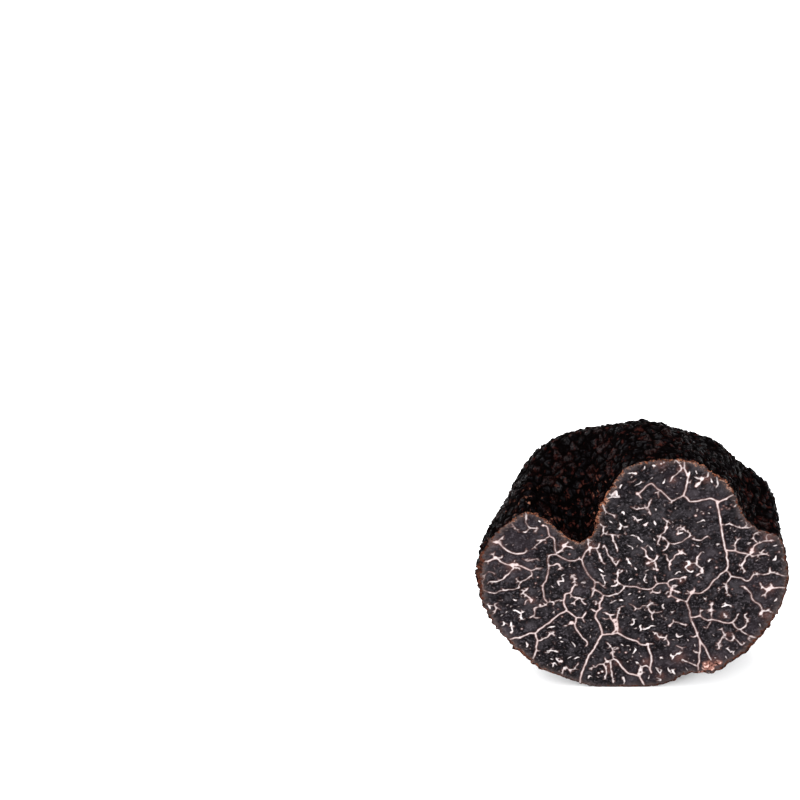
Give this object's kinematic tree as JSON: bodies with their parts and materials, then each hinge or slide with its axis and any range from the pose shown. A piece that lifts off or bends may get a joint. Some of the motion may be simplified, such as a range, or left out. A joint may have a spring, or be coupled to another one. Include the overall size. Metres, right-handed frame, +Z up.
{
  "type": "black truffle half",
  "caption": "Half of a black truffle, cut straight through: warty near-black rind with one deep fold, flat cut face with pale branching veins, standing on a small flat spot.",
  "frame": {"origin": "on the small flat spot that the half stands on, 11 mm behind the cut and close to the middle of the width", "axes": "+Z up, away from the surface it stands on; -Y is the way the flat cut face looks; +X is to the right, seen facing the cut"},
  "size_m": [0.0697, 0.0362, 0.0652],
  "materials": {
    "rind": "dry, rough near-black warts with dark red-brown flecks",
    "flesh": "moist dark grey-violet flesh with a net of fine whitish veins"
  },
  "bodies": {
    "root": {"truffle_half": "rind"}
  },
  "joints": []
}
